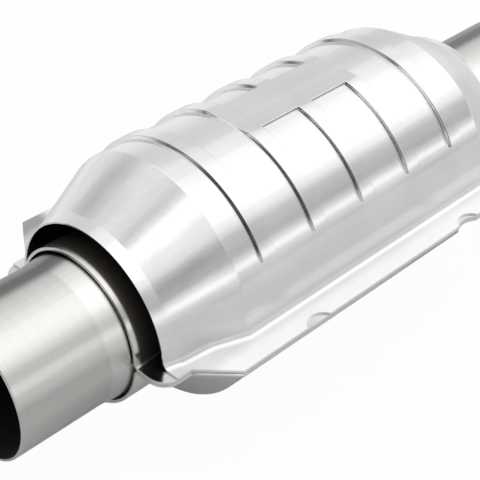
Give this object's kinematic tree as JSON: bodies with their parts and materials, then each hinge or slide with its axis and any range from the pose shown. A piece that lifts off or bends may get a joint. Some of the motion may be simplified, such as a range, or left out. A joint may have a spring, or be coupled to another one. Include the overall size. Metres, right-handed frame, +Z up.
{
  "type": "catalytic converter",
  "caption": "Universal catalytic converter: two pressed steel shell halves with side flanges, a ribbed heat shield on top, pipe stubs at both ends and ceramic monoliths inside.",
  "frame": {"origin": "centre of the inlet pipe's mouth, on the pipe axis", "axes": "+X along the pipe axis in the direction of the gas, +Z up towards the heat shield, +Y to the left seen along the gas"},
  "size_m": [0.3302, 0.131, 0.1121],
  "materials": {
    "shield_steel": "bright stainless sheet, brushed along its length",
    "shell_steel": "satin stainless sheet",
    "pipe_steel": "welded stainless tube with soft draw lines",
    "weld": "dark weld bead",
    "monolith": "matt washcoated ceramic",
    "mat": "compressed fibre mat",
    "seal_wire": "knitted wire rope"
  },
  "bodies": {
    "root": {"heat_shield": "shield_steel", "upper_shell": "shell_steel", "lower_shell": "shell_steel", "inlet_pipe": "pipe_steel", "outlet_pipe": "pipe_steel", "inlet_weld": "weld", "outlet_weld": "weld", "front_monolith": "monolith", "rear_monolith": "monolith", "front_mat": "mat", "rear_mat": "mat", "front_mat_inlet_seal": "seal_wire", "front_mat_outlet_seal": "seal_wire", "rear_mat_inlet_seal": "seal_wire", "rear_mat_outlet_seal": "seal_wire"}
  },
  "joints": []
}
